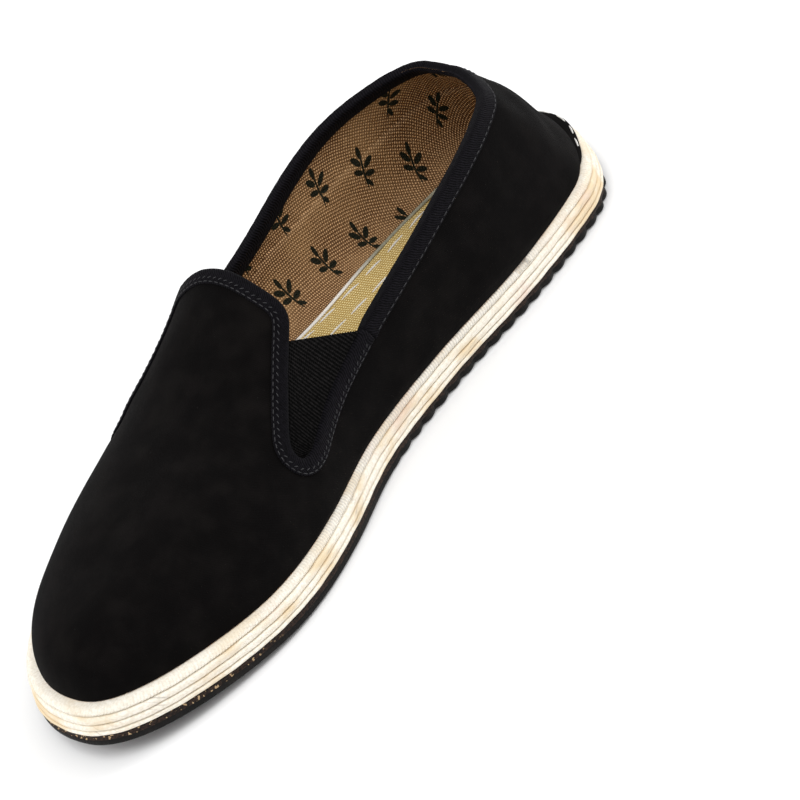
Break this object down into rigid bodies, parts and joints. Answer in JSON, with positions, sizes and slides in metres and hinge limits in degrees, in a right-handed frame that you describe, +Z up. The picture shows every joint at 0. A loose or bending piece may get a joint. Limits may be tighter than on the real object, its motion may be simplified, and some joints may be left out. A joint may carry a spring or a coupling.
{
  "type": "chinese cloth shoe",
  "caption": "Black cotton slip-on shoe with elastic gores at the sides, tape-bound edges, a gold insole and a layered white cloth sole on a black rubber tread.",
  "frame": {"origin": "middle of the footprint's bounding box, on the floor under the sole", "axes": "+X from heel to toe, +Y to the inner side of the foot, +Z up"},
  "size_m": [0.275, 0.0942, 0.0699],
  "materials": {
    "black_rubber": "matt moulded rubber with a herringbone tread",
    "white_cloth": "stacked white cotton layers, slightly stained",
    "gold_cloth": "gold woven lining with white stitch lines",
    "black_cloth": "black cotton twill with a soft nap",
    "black_elastic": "ribbed black elastic",
    "black_tape": "ribbed black cotton tape"
  },
  "bodies": {
    "root": {"outsole": "black_rubber", "midsole_layer_1": "white_cloth", "midsole_layer_2": "white_cloth", "midsole_layer_3": "white_cloth", "midsole_layer_4": "white_cloth", "insole": "gold_cloth", "upper": "black_cloth", "gore_left": "black_elastic", "gore_right": "black_elastic", "throat_binding": "black_tape", "collar_binding": "black_tape", "heel_rand": "black_tape"}
  },
  "joints": []
}
